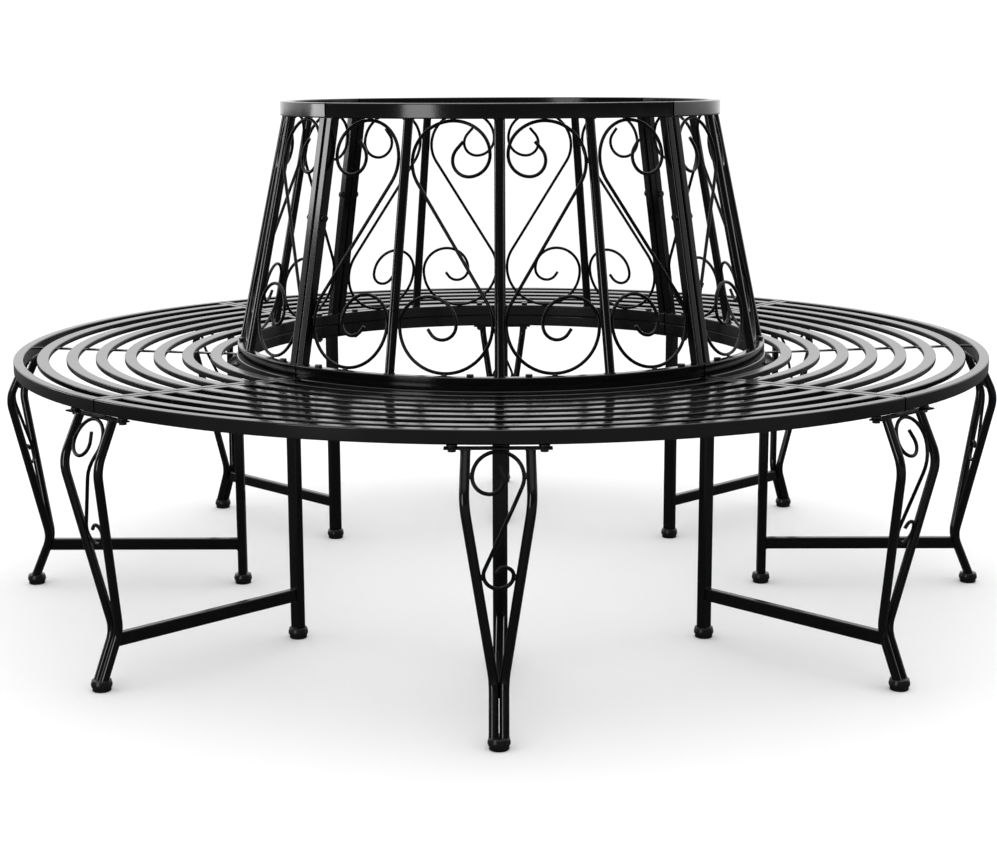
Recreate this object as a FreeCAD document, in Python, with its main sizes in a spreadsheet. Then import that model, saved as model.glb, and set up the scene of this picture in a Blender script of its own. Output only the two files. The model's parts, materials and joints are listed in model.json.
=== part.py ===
import FreeCAD, Part
import math
import os

import Sketcher
from FreeCAD import Placement, Rotation, Vector

doc = FreeCAD.newDocument("tree_bench")

# Driving dimensions, in millimetres and degrees
DIMENSIONS = [
    ("seat_radius", 770, "outside of the seat's outer rim"),
    ("seat_top_height", 407, "top of the outer rim above the floor"),
    ("seat_slope", 0.0324, "fall of the seat towards the tree for each millimetre"),
    ("seam_clearance", 3, "gap between two quarters of the ring"),
    ("rim_width", 15, "outer rim tube, along the radius"),
    ("rim_depth", 19, "outer rim tube, upright"),
    ("inner_rim_radius", 427, "outside of the seat's inner rim"),
    ("inner_rim_width", 15, "inner rim tube, along the radius"),
    ("inner_rim_depth", 19, "inner rim tube, upright"),
    ("tube_wall", 1.5, "wall of the rectangular tubes"),
    ("tube_corner", 2, "rounding of the rectangular tubes"),
    ("slat_total", 7, "curved slats in a quarter"),
    ("slat_outer_radius", 735, "outer edge of the outermost slat"),
    ("slat_pitch", 44.4, "distance from slat to slat"),
    ("slat_width", 18, "slat tube, along the radius"),
    ("slat_depth", 8, "slat tube, upright"),
    ("slat_wall", 1.2, "wall of a slat tube"),
    ("slat_corner", 1.5, "rounding of a slat tube"),
    ("end_bar_width", 12, "bar along a seam, across"),
    ("end_bar_depth", 18, "bar along a seam, upright"),
    ("middle_bar_width", 10, "bar under the slats, across"),
    ("middle_bar_depth", 2.5, "bar under the slats, upright"),
    ("back_height", 794, "top of the backrest above the floor"),
    ("top_band_radius", 348, "outside of the backrest's top band, in the middle of a quarter"),
    ("top_band_flatness", 43, "centre of a top band's arc behind the middle of the bench"),
    ("top_band_width", 15, "top band tube, along the radius"),
    ("top_band_depth", 22, "top band tube, upright"),
    ("back_ring_radius", 425, "outside of the backrest's bottom ring"),
    ("back_ring_width", 15, "bottom ring tube, along the radius"),
    ("back_ring_depth", 19, "bottom ring tube, upright"),
    ("seam_post_width", 13, "backrest post at a seam, across"),
    ("seam_post_depth", 15, "backrest post at a seam, along the radius"),
    ("centre_post_diameter", 14, "backrest post in the middle of a quarter"),
    ("slim_post_diameter", 14, "slim backrest posts"),
    ("slim_post_angle", 22.1, "turn from the middle post to a slim post"),
    ("post_wall", 1.2, "wall of the round posts"),
    ("rod_diameter", 5, "solid rod of the scrolls"),
    ("rod_clearance", 0.3, "gap between a scroll and the tube beside it"),
    ("upper_second_radius", 46, "second turn of a backrest scroll's upper curl"),
    ("upper_third_radius", 30, "third turn of the upper curl"),
    ("upper_inner_radius", 24, "innermost turn of the upper curl"),
    ("upper_first_end", 45, "compass angle where that curl starts to tighten"),
    ("upper_last_end", 140, "compass angle where its innermost turn ends"),
    ("upper_tail", 14, "straight end of the upper curl"),
    ("lower_second_radius", 41, "second turn of a backrest scroll's lower curl"),
    ("lower_inner_radius", 20, "innermost turn of the lower curl"),
    ("lower_last_end", -145, "compass angle where its innermost turn ends"),
    ("lower_tail", 8, "straight end of the lower curl"),
    ("leg_tube_diameter", 12.7, "bent tubes of a leg"),
    ("leg_tube_wall", 1.2, "wall of the bent tubes"),
    ("leg_head_radius", 767, "middle of the bent tubes at the top"),
    ("leg_head_spread", 80, "distance between the two tubes at the top"),
    ("knee_radius", 796.05, "corner of the bulge, before it is rounded"),
    ("knee_height", 320.4, "height of that corner"),
    ("knee_spread", 84, "distance between the two tubes at the bulge"),
    ("knee_bend", 55, "bending radius of the bulge"),
    ("ankle_radius", 749.9, "corner of the ankle, before it is rounded"),
    ("ankle_height", 80.4, "height of that corner"),
    ("ankle_bend", 50, "bending radius of the ankle"),
    ("ankle_clearance", 0.8, "gap between the two tubes below the ankle"),
    ("foot_radius", 777, "middle of the outer foot caps"),
    ("inner_leg_radius", 432, "middle of the inner legs"),
    ("inner_leg_width", 21, "inner leg tube, across"),
    ("inner_leg_depth", 14, "inner leg tube, along the radius"),
    ("inner_leg_corner", 3.5, "rounding of the inner leg tube"),
    ("stretcher_height", 67.5, "middle of the stretcher above the floor"),
    ("stretcher_width", 12, "stretcher tube, across"),
    ("stretcher_depth", 19, "stretcher tube, upright"),
    ("leg_curl_drop", 31.8, "middle of the leg scroll's upper curl below the outer plate"),
    ("leg_curl_second_radius", 21.5, "second turn of that curl"),
    ("leg_curl_inner_radius", 17, "innermost turn of that curl"),
    ("leg_curl_last_end", 20, "compass angle where the innermost turn ends"),
    ("leg_curl_tail", 13, "straight end of that curl"),
    ("leg_scroll_bend", 60, "bending radius where the leg scroll folds at the bulge"),
    ("leg_hook_height", 226, "middle of the leg scroll's lower curl"),
    ("leg_hook_inner_radius", 10.5, "inner turn of the lower curl"),
    ("leg_hook_last_end", 140, "compass angle where the inner turn ends"),
    ("outer_plate_thickness", 2, "outer mounting plate, upright"),
    ("outer_plate_length", 134, "outer mounting plate, across"),
    ("outer_plate_width", 15, "outer mounting plate, along the radius"),
    ("outer_plate_overhang", 3, "outer plate past the rim's outside"),
    ("spacer_height", 3.2, "spacers between the outer plate and the rim"),
    ("spacer_diameter", 14, "those spacers, across"),
    ("rim_bolt_inset", 5.2, "bolts of an outer plate behind the rim's outside"),
    ("rim_bolt_spacing", 114, "distance between the two bolts of an outer plate"),
    ("inner_plate_thickness", 3, "inner mounting plate, upright"),
    ("inner_plate_length", 104, "inner mounting plate, across"),
    ("inner_plate_width", 32, "inner mounting plate, along the radius"),
    ("ring_bolt_spacing", 83, "distance between the two bolts of an inner plate"),
    ("bolt_diameter", 6, "shank of every bolt"),
    ("bolt_head_width", 10, "hexagon of every bolt and nut, across flats"),
    ("bolt_head_height", 4, "head of every bolt, and every nut"),
    ("hole_clearance", 0.6, "bolt holes wider than the bolts"),
    ("bolt_reach", 8, "rim bolt inside the rim tube"),
    ("thread_reach", 2, "end of a bolt past its nut"),
    ("tie_bolt_height", 628, "bolts through the backrest's seam posts"),
    ("cap_height", 16, "foot caps, upright"),
    ("cap_top_radius", 13.4, "foot cap at its top"),
    ("cap_collar_radius", 14.8, "foot cap at its collar"),
    ("cap_collar_slope", 1, "height of the slope under the collar"),
    ("cap_collar_low", 6, "lower edge of the collar"),
    ("cap_collar_high", 11, "upper edge of the collar"),
    ("cap_sole_radius", 13.2, "foot cap where it stands on the floor"),
]

dims = doc.addObject("Spreadsheet::Sheet", "dims")
for row, (alias, number, meaning) in enumerate(DIMENSIONS, start=1):
    dims.set(f"A{row}", meaning)
    dims.set(f"B{row}", str(number))
    dims.setAlias(f"B{row}", alias)
doc.recompute()

# Places that follow from the driving dimensions, as expressions
RIM_INSIDE = "(dims.seat_radius - dims.rim_width)"
RIM_BOTTOM = "(dims.seat_top_height - dims.rim_depth)"
SEAT_DROP = "(dims.seat_slope * (dims.seat_radius - dims.inner_rim_radius))"
INNER_RIM_TOP = f"(dims.seat_top_height - {SEAT_DROP})"
INNER_RIM_BOTTOM = f"({INNER_RIM_TOP} - dims.inner_rim_depth)"
RING_TOP = f"({INNER_RIM_TOP} + dims.back_ring_depth)"
RING_MIDDLE = "(dims.back_ring_radius - 0.5 * dims.back_ring_width)"
BAND_BOTTOM = "(dims.back_height - dims.top_band_depth)"
BAND_MIDDLE = "(dims.top_band_radius - 0.5 * dims.top_band_width)"
BAND_ARC = f"({BAND_MIDDLE} + dims.top_band_flatness)"
HALF_SEAM = "(0.5 * dims.seam_clearance)"
SEAM_POST_SIDE = f"({HALF_SEAM} + 0.5 * dims.seam_post_width)"
OUTER_PLATE_TOP = f"({RIM_BOTTOM} - dims.spacer_height)"
OUTER_PLATE_BOTTOM = f"({OUTER_PLATE_TOP} - dims.outer_plate_thickness)"
OUTER_PLATE_OUTSIDE = "(dims.seat_radius + dims.outer_plate_overhang)"
INNER_PLATE_BOTTOM = f"({INNER_RIM_BOTTOM} - dims.inner_plate_thickness)"
INNER_PLATE_INSIDE = "(dims.inner_rim_radius - dims.inner_rim_width)"
RIM_BOLT_RADIUS = "(dims.seat_radius - dims.rim_bolt_inset)"
HOLE_RADIUS = "(0.5 * (dims.bolt_diameter + dims.hole_clearance))"

QUARTER_TURNS = {"front": -90, "right": 0, "back": 90, "left": 180}
LEG_TURNS = {
    "front": -90,
    "front_right": -45,
    "right": 0,
    "back_right": 45,
    "back": 90,
    "back_left": 135,
    "left": 180,
    "front_left": 225,
}
SEAM_TURN = 45
LEG_TOTAL = 8
HEXAGON_SIDES = 6
LONG_EDGE_RATIO = 3
LENGTH_TOLERANCE = 1e-4

# Compass angles of a scroll that is seen from outside
RIGHT = 0
TOP = 90
LEFT = 180
BOTTOM = -90

# Middle line of the top band along a seam post and along a slim post, from the axis of the bench
BAND_PAST_SEAM = f"({SEAM_POST_SIDE} + dims.top_band_flatness * sin({SEAM_TURN} deg))"
BAND_BEHIND_SEAM = f"(dims.top_band_flatness * cos({SEAM_TURN} deg))"
BAND_AT_SEAM = f"(sqrt({BAND_ARC}^2 - {BAND_PAST_SEAM}^2) - {BAND_BEHIND_SEAM})"
BAND_PAST_SLIM = "(dims.top_band_flatness * sin(dims.slim_post_angle * 1 deg))"
BAND_BEHIND_SLIM = "(dims.top_band_flatness * cos(dims.slim_post_angle * 1 deg))"
BAND_AT_SLIM = f"(sqrt({BAND_ARC}^2 - {BAND_PAST_SLIM}^2) - {BAND_BEHIND_SLIM})"

nodes = {}


def value(expression):
    return float(dims.evalExpression(expression))


def size(name):
    return float(dims.get(name))


def turned(angle):
    return Placement(Vector(0, 0, 0), Rotation(Vector(0, 0, 1), angle))


def upright_turn(angle):
    """Turn of a sketch on an upright plane, whose own second axis points up."""
    return Placement(Vector(0, 0, 0), Rotation(Vector(0, 1, 0), angle))


def new_body(node, turn=0):
    body = doc.addObject("PartDesign::Body", node)
    body.Label = node
    body.AllowCompound = True
    body.Placement = turned(turn)
    nodes[node] = body
    return body


def origin_part(body, role):
    return next(part for part in body.Origin.OriginFeatures if part.Role == role)


def new_sketch(body, plane, turn=None, along=None, across=None):
    """Sketch on one of the body's own planes, turned, then moved along its normal."""
    sketch = body.newObject("Sketcher::SketchObject", body.Name + "_sketch")
    sketch.AttachmentSupport = [(origin_part(body, plane), "")]
    sketch.MapMode = "FlatFace"
    if turn is not None:
        sketch.AttachmentOffset = turn
    if along is not None:
        sketch.setExpression("AttachmentOffset.Base.z", along)
    if across is not None:
        sketch.setExpression("AttachmentOffset.Base.x", across)
    return sketch


def add_outline(sketch, corners):
    """Closed outline, each corner bound to the origin by two distances."""
    first = sketch.GeometryCount
    places = [Vector(value(across), value(up), 0) for across, up in corners]
    total = len(places)
    for index in range(total):
        sketch.addGeometry(Part.LineSegment(places[index], places[(index + 1) % total]))
    for index in range(total):
        joint = (first + index, 2, first + (index + 1) % total, 1)
        sketch.addConstraint(Sketcher.Constraint("Coincident", *joint))
    for index, (across, up) in enumerate(corners):
        for kind, expression in (("DistanceX", across), ("DistanceY", up)):
            number = value(expression)
            if abs(number) < LENGTH_TOLERANCE:
                on_axis = -2 if kind == "DistanceX" else -1
                rule = Sketcher.Constraint("PointOnObject", first + index, 1, on_axis)
                sketch.addConstraint(rule)
                continue
            rule = Sketcher.Constraint(kind, -1, 1, first + index, 1, number)
            sketch.setExpression(f"Constraints[{sketch.addConstraint(rule)}]", expression)


def add_circle(sketch, across, up, radius):
    index = sketch.GeometryCount
    centre = Vector(value(across), value(up), 0)
    sketch.addGeometry(Part.Circle(centre, Vector(0, 0, 1), value(radius)))
    for kind, expression, number in (("DistanceX", across, centre.x), ("DistanceY", up, centre.y)):
        if abs(number) < LENGTH_TOLERANCE:
            on_axis = -2 if kind == "DistanceX" else -1
            sketch.addConstraint(Sketcher.Constraint("PointOnObject", index, 3, on_axis))
            continue
        rule = Sketcher.Constraint(kind, -1, 1, index, 3, number)
        sketch.setExpression(f"Constraints[{sketch.addConstraint(rule)}]", expression)
    rule = Sketcher.Constraint("Radius", index, value(radius))
    sketch.setExpression(f"Constraints[{sketch.addConstraint(rule)}]", radius)


def rectangle(left, right, low, high, inset="0"):
    left, right = f"{left} + {inset}", f"{right} - {inset}"
    low, high = f"{low} + {inset}", f"{high} - {inset}"
    return [(left, low), (right, low), (right, high), (left, high)]


def hexagon(across, up, flats):
    reach = f"{flats} / sqrt(3)"
    corners = []
    for side in range(HEXAGON_SIDES):
        angle = f"{side * 360 / HEXAGON_SIDES} deg"
        corners.append((f"{across} + {reach} * cos({angle})", f"{up} + {reach} * sin({angle})"))
    return corners


def revolve(body, sketch, angle, axis=None):
    feature = body.newObject("PartDesign::Revolution", body.Name + "_turned")
    feature.Profile = sketch
    feature.ReferenceAxis = axis if axis else (origin_part(body, "Z_Axis"), [""])
    feature.Midplane = angle is not None
    if angle is None:
        feature.Angle = 360
    else:
        feature.setExpression("Angle", angle)
    return feature


def extrude(body, sketch, length, kind="Pad", both_ways=False, slope=None):
    feature = body.newObject("PartDesign::" + kind, body.Name + "_extruded")
    feature.Profile = sketch
    feature.setExpression("Length", length)
    feature.Midplane = both_ways
    if slope is not None:
        feature.UseCustomVector = True
        feature.AlongSketchNormal = True
        feature.Direction = slope
    return feature


def round_long_edges(body, feature, radius, width):
    """Rounds the edges that run along a bar or tube, far longer than it is wide."""
    doc.recompute()
    names = []
    for index, edge in enumerate(feature.Shape.Edges, start=1):
        if edge.Length > LONG_EDGE_RATIO * width:
            names.append(f"Edge{index}")
    fillet = body.newObject("PartDesign::Fillet", body.Name + "_rounding")
    fillet.Base = (feature, names)
    fillet.Radius = value(radius)
    fillet.setExpression("Radius", radius)
    return fillet


def repeat_around(body, feature, total=LEG_TOTAL):
    """Whole body so far, repeated evenly around the upright axis."""
    doc.recompute()
    pattern = body.newObject("PartDesign::PolarPattern", body.Name + "_pattern")
    pattern.Axis = (origin_part(body, "Z_Axis"), [""])
    pattern.Angle = 360
    pattern.Occurrences = total
    pattern.TransformMode = "Whole shape"
    body.Tip = pattern
    return pattern


def drill_up(body, places, level, depth):
    """Round bolt holes through whatever lies within depth of a level, above and below."""
    sketch = new_sketch(body, "XY_Plane", along=level)
    for across, up in places:
        add_circle(sketch, across, up, HOLE_RADIUS)
    return extrude(body, sketch, f"2 * {depth}", kind="Pocket", both_ways=True)


def plate_bolt_places(radius, spacing):
    """Bolt places of the three legs that a quarter shares, in the quarter's own frame."""
    half_turn = f"asin(0.5 * {spacing} / {radius})"
    places = []
    for angle in (f"-45 deg + {half_turn}", f"-{half_turn}", half_turn, f"45 deg - {half_turn}"):
        places.append((f"{radius} * cos({angle})", f"{radius} * sin({angle})"))
    return places


def round_ring_edges(body, ring, corners, radius):
    """Rounds the ring's long edges that run through the corners of its outline."""
    doc.recompute()
    places = [(value(across), value(up)) for across, up in corners]
    names = []
    for index, edge in enumerate(ring.Shape.Edges, start=1):
        if not isinstance(edge.Curve, Part.Circle):
            continue
        found = (edge.Curve.Radius, edge.Curve.Center.z)
        if any(math.dist(found, place) < LENGTH_TOLERANCE for place in places):
            names.append(f"Edge{index}")
    fillet = body.newObject("PartDesign::Fillet", body.Name + "_rounding")
    fillet.Base = (ring, names)
    fillet.Radius = value(radius)
    fillet.setExpression("Radius", radius)
    return fillet


def ring_quarter(body, inside, outside, low, high):
    """Quarter of a hollow rectangular ring, short of each seam by half the clearance."""
    outline = new_sketch(body, "XZ_Plane")
    corners = rectangle(inside, outside, low, high)
    add_outline(outline, corners)
    add_outline(outline, rectangle(inside, outside, low, high, "dims.tube_wall"))
    ring = revolve(body, outline, f"90 deg - 2 * asin({HALF_SEAM} / {inside})")
    round_ring_edges(body, ring, corners, "dims.tube_corner")


# Seat


def seat_outer_rim(quarter, turn):
    body = new_body(f"seat_outer_rim_{quarter}", turn)
    ring_quarter(body, RIM_INSIDE, "dims.seat_radius", RIM_BOTTOM, "dims.seat_top_height")
    places = plate_bolt_places(RIM_BOLT_RADIUS, "dims.rim_bolt_spacing")
    drill_up(body, places, RIM_BOTTOM, "2 * dims.tube_wall")


def seat_inner_rim(quarter, turn):
    body = new_body(f"seat_inner_rim_{quarter}", turn)
    inside = "(dims.inner_rim_radius - dims.inner_rim_width)"
    ring_quarter(body, inside, "dims.inner_rim_radius", INNER_RIM_BOTTOM, INNER_RIM_TOP)
    places = plate_bolt_places(RING_MIDDLE, "dims.ring_bolt_spacing")
    drill_up(body, places, INNER_RIM_BOTTOM, "2 * dims.inner_rim_depth")


def slat_corners(number, inset):
    """Outline of one slat, tilted with the seat."""
    outside = f"(dims.slat_outer_radius - {number} * dims.slat_pitch - {inset})"
    inside = f"({outside} - dims.slat_width + 2 * {inset})"
    corners = []
    for edge, place in ((inside, "low"), (outside, "low"), (outside, "high"), (inside, "high")):
        surface = f"dims.seat_top_height - dims.seat_slope * (dims.seat_radius - {edge})"
        if place == "low":
            corners.append((edge, f"{surface} - dims.slat_depth + {inset}"))
        else:
            corners.append((edge, f"{surface} - {inset}"))
    return corners


def seat_slats(quarter, turn):
    """Curved slats that end square against the bars along the seams."""
    body = new_body(f"seat_slats_{quarter}", turn)
    total = int(size("slat_total"))
    outline = new_sketch(body, "XZ_Plane")
    corners = []
    for number in range(total):
        corners += slat_corners(number, "0")
        add_outline(outline, slat_corners(number, "0"))
        add_outline(outline, slat_corners(number, "dims.slat_wall"))
    slats = revolve(body, outline, "90 deg")
    round_ring_edges(body, slats, corners, "dims.slat_corner")
    side = f"({HALF_SEAM} + dims.end_bar_width)"
    for sign in (1, -1):
        strip = new_sketch(body, "XY_Plane", turn=turned(sign * SEAM_TURN))
        add_outline(strip, rectangle("0", "dims.seat_radius", f"-{side}", side))
        extrude(body, strip, "2 * dims.seat_top_height", kind="Pocket", both_ways=True)


def set_start(sketch, start, sign):
    """Moves a sketch that faces a seam out along the seam by the start radius."""
    sketch.setExpression("AttachmentOffset.Base.z", f"{start} * cos({SEAM_TURN} deg)")
    sketch.setExpression("AttachmentOffset.Base.x", f"{sign} * {start} * sin({SEAM_TURN} deg)")


def seat_radial_bars(quarter, turn):
    """Two bars along the seams, level with the slats, and one under the slats."""
    body = new_body(f"seat_radial_bars_{quarter}", turn)
    start = "dims.inner_rim_radius"
    side = f"({HALF_SEAM} + dims.end_bar_width)"
    length = f"(sqrt({RIM_INSIDE}^2 - {side}^2) - {start})"
    top = INNER_RIM_TOP
    slope = size("seat_slope")
    walls = []
    for sign in (1, -1):
        seam = math.radians(sign * SEAM_TURN)
        direction = Vector(math.cos(seam), math.sin(seam), slope)
        near, far = f"{-sign} * {HALF_SEAM}", f"{-sign} * {side}"
        left, right = (far, near) if sign > 0 else (near, far)
        place = upright_turn(sign * SEAM_TURN)
        outline = new_sketch(body, "YZ_Plane", turn=place)
        low = f"{top} - dims.end_bar_depth"
        add_outline(outline, rectangle(left, right, low, top))
        set_start(outline, start, sign)
        bar = extrude(body, outline, length, slope=direction)
        walls.append((place, left, right, low, direction, sign))
    round_long_edges(body, bar, "dims.tube_corner", size("end_bar_depth"))
    for place, left, right, low, direction, sign in walls:
        bore = new_sketch(body, "YZ_Plane", turn=place)
        add_outline(bore, rectangle(left, right, low, top, "dims.tube_wall"))
        set_start(bore, start, sign)
        extrude(body, bore, length, kind="Pocket", slope=direction)
    outline = new_sketch(body, "YZ_Plane", along=start)
    half = "0.5 * dims.middle_bar_width"
    high = f"{top} - dims.slat_depth"
    add_outline(outline, rectangle(f"-{half}", half, f"{high} - dims.middle_bar_depth", high))
    reach = f"(sqrt({RIM_INSIDE}^2 - ({half})^2) - {start})"
    extrude(body, outline, reach, slope=Vector(1, 0, slope))


# Backrest


def back_top_band(quarter, turn):
    """Arc a little flatter than a quarter circle, so that the ring has blunt corners at the seams."""
    body = new_body(f"back_top_band_{quarter}", turn)
    outside = "(dims.top_band_radius + dims.top_band_flatness)"
    inside = f"({outside} - dims.top_band_width)"
    outline = new_sketch(body, "XZ_Plane", across="-dims.top_band_flatness")
    corners = rectangle(inside, outside, BAND_BOTTOM, "dims.back_height")
    add_outline(outline, corners)
    add_outline(outline, rectangle(inside, outside, BAND_BOTTOM, "dims.back_height", "dims.tube_wall"))
    band = revolve(body, outline, f"{2 * SEAM_TURN} deg", axis=(outline, ["V_Axis"]))
    round_ring_edges(body, band, corners, "dims.tube_corner")
    for sign in (1, -1):
        past_seam = new_sketch(body, "XY_Plane", turn=turned(sign * SEAM_TURN), along=BAND_BOTTOM)
        near, far = f"{-sign} * {HALF_SEAM}", f"{sign} * 0.5 * dims.top_band_radius"
        sides = (near, far) if sign > 0 else (far, near)
        add_outline(past_seam, rectangle("0", "dims.seat_radius", *sides))
        extrude(body, past_seam, "4 * dims.top_band_depth", kind="Pocket", both_ways=True)


def back_bottom_ring(quarter, turn):
    body = new_body(f"back_bottom_ring_{quarter}", turn)
    inside = "(dims.back_ring_radius - dims.back_ring_width)"
    ring_quarter(body, inside, "dims.back_ring_radius", INNER_RIM_TOP, RING_TOP)
    places = plate_bolt_places(RING_MIDDLE, "dims.ring_bolt_spacing")
    drill_up(body, places, INNER_RIM_TOP, "2 * dims.back_ring_depth")


def leaning(sketch_turn, top_radius):
    """Direction of a backrest post that stands in a given direction and meets the band there."""
    run = value(top_radius) - value(RING_MIDDLE)
    rise = value(BAND_BOTTOM) - value(RING_TOP)
    turn = math.radians(sketch_turn)
    return Vector(run * math.cos(turn), run * math.sin(turn), rise)


def back_posts(quarter, turn):
    """Posts that lean in from the bottom ring to the top band."""
    body = new_body(f"back_posts_{quarter}", turn)
    height = f"{BAND_BOTTOM} - {RING_TOP}"
    half_depth = "0.5 * dims.seam_post_depth"
    radial = (f"{RING_MIDDLE} - {half_depth}", f"{RING_MIDDLE} + {half_depth}")
    for kind, inset in (("Pad", "0"), ("Pocket", "dims.tube_wall")):
        for sign in (1, -1):
            near, far = f"{-sign} * {HALF_SEAM}", f"{-sign} * ({HALF_SEAM} + dims.seam_post_width)"
            across = (far, near) if sign > 0 else (near, far)
            outline = new_sketch(body, "XY_Plane", turn=turned(sign * SEAM_TURN), along=RING_TOP)
            add_outline(outline, rectangle(*radial, *across, inset))
            slope = leaning(sign * SEAM_TURN, BAND_AT_SEAM)
            post = extrude(body, outline, height, kind=kind, slope=slope)
        if kind == "Pad":
            round_long_edges(body, post, "dims.tube_corner", size("seam_post_depth"))
    tie_holes(body)
    slim_turn = size("slim_post_angle")
    for angle, diameter, top_radius in (
        (0, "dims.centre_post_diameter", BAND_MIDDLE),
        (slim_turn, "dims.slim_post_diameter", BAND_AT_SLIM),
        (-slim_turn, "dims.slim_post_diameter", BAND_AT_SLIM),
    ):
        outline = new_sketch(body, "XY_Plane", turn=turned(angle), along=RING_TOP)
        add_circle(outline, RING_MIDDLE, "0", f"0.5 * {diameter}")
        add_circle(outline, RING_MIDDLE, "0", f"0.5 * {diameter} - dims.post_wall")
        extrude(body, outline, height, slope=leaning(angle, top_radius))


TIE_SHARE = f"((dims.tie_bolt_height - {RING_TOP}) / ({BAND_BOTTOM} - {RING_TOP}))"
TIE_RADIUS = f"({RING_MIDDLE} + ({BAND_AT_SEAM} - {RING_MIDDLE}) * {TIE_SHARE})"


def tie_holes(body):
    """Level holes through the two seam posts, for the bolts that tie the quarters."""
    for sign in (1, -1):
        sketch = new_sketch(body, "XZ_Plane", turn=upright_turn(sign * SEAM_TURN))
        add_circle(sketch, TIE_RADIUS, "dims.tie_bolt_height", HOLE_RADIUS)
        reach = f"4 * ({HALF_SEAM} + dims.seam_post_width)"
        extrude(body, sketch, reach, kind="Pocket", both_ways=True)


# Scrolls: a straight rod between two curls, each a chain of arcs that tighten


def on_circle(centre, radius, angle):
    return centre + Vector(radius * math.cos(angle), radius * math.sin(angle), 0)


def curl_edges(centre, radius, start, turns, tail, side):
    """Arcs from an angle on the outer circle, then a straight tail.

    Each turn is a radius and the angle where it ends. Side is -1 for clockwise.
    """
    edges = []
    angle = start
    for next_radius, end in turns:
        point = on_circle(centre, radius, angle)
        centre = centre + (point - centre) * ((radius - next_radius) / radius)
        radius = next_radius
        middle = on_circle(centre, radius, 0.5 * (angle + end))
        last = on_circle(centre, radius, end)
        edges.append(Part.Arc(point, middle, last).toShape())
        angle = end
    heading = Vector(-math.sin(angle) * side, math.cos(angle) * side, 0)
    edges.append(Part.LineSegment(last, last + heading * tail).toShape())
    return edges


def turn_ends(start, turns, side):
    """Angles where the turns end, each the next one met when going round to that side."""
    full = 2 * math.pi
    done = []
    angle = start
    for radius, target in turns:
        angle = angle + side * ((side * (math.radians(target) - angle)) % full)
        done.append((radius, angle))
    return done


def curl(centre, radius, start, turns, tail, side):
    """Edges of one curl, and the point where the straight rod meets it."""
    edges = curl_edges(centre, radius, start, turn_ends(start, turns, side), tail, side)
    return edges, on_circle(centre, radius, start)


def scroll_curls(upper, lower, side):
    """Both curls of a flat scroll: each is given as centre, outer radius, later turns, tail."""
    span = lower[0] - upper[0]
    lean = math.acos((upper[1] + lower[1]) / span.Length)
    leave = math.atan2(span.y, span.x) + side * lean
    curls = []
    for (centre, radius, turns, tail), start in ((upper, leave), (lower, leave + math.pi)):
        curls.append(curl(centre, radius, start, turns, tail, side))
    return curls


def scroll_wire(upper, lower, side):
    """Flat scroll: two curls and the straight rod that touches both."""
    (upper_edges, leave_point), (lower_edges, arrive_point) = scroll_curls(upper, lower, side)
    rod = Part.LineSegment(leave_point, arrive_point).toShape()
    return Part.Wire(list(reversed(upper_edges)) + [rod] + lower_edges)


def swept_rod(name, wire, radius, place):
    path = doc.addObject("Part::Feature", name + "_path")
    path.Shape = wire
    section = doc.addObject("Part::Circle", name + "_section")
    section.setExpression("Radius", radius)
    first = wire.OrderedEdges[0]
    start = wire.OrderedVertexes[0].Point
    end_parameter = first.FirstParameter
    if (first.valueAt(end_parameter) - start).Length > LENGTH_TOLERANCE:
        end_parameter = first.LastParameter
    section.Placement = Placement(start, Rotation(Vector(0, 0, 1), first.tangentAt(end_parameter)))
    sweep = doc.addObject("Part::Sweep", name)
    sweep.Sections = [section]
    sweep.Spine = (path, [])
    sweep.Solid = True
    sweep.Frenet = False
    sweep.Placement = place
    return sweep


def frame_between(left, right, left_top, right_top):
    """Placement whose X runs from left to right and whose Y runs up between the posts."""
    origin = (left + right) * 0.5
    across = (right - left).normalize()
    up = ((left_top + right_top) * 0.5 - origin).normalize()
    out = across.cross(up)
    rotation = Rotation(across, up, out, "ZXY")
    return Placement(origin, rotation)


def post_lines():
    """Foot and head of the middle line of each post in a quarter, from seam to seam."""
    slim = size("slim_post_angle")
    aside = value(SEAM_POST_SIDE)
    lines = []
    for angle, across, top_radius in (
        (-SEAM_TURN, aside, BAND_AT_SEAM),
        (-slim, 0, BAND_AT_SLIM),
        (0, 0, BAND_MIDDLE),
        (slim, 0, BAND_AT_SLIM),
        (SEAM_TURN, -aside, BAND_AT_SEAM),
    ):
        spin = Rotation(Vector(0, 0, 1), angle)
        foot = spin.multVec(Vector(value(RING_MIDDLE), across, value(RING_TOP)))
        head = spin.multVec(Vector(value(top_radius), across, value(BAND_BOTTOM)))
        lines.append((foot, head))
    return lines


def post_halves():
    """Half the width that each post takes from the bay beside it, from seam to seam."""
    half_turn = 0.5 * math.radians(SEAM_TURN - size("slim_post_angle"))
    seam_half = 0.5 * size("seam_post_width") / math.cos(half_turn)
    seam_half += 0.5 * size("rod_diameter") * math.tan(half_turn)
    centre_half = 0.5 * size("centre_post_diameter")
    slim_half = 0.5 * size("slim_post_diameter")
    return seam_half, slim_half, centre_half, slim_half, seam_half


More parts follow.
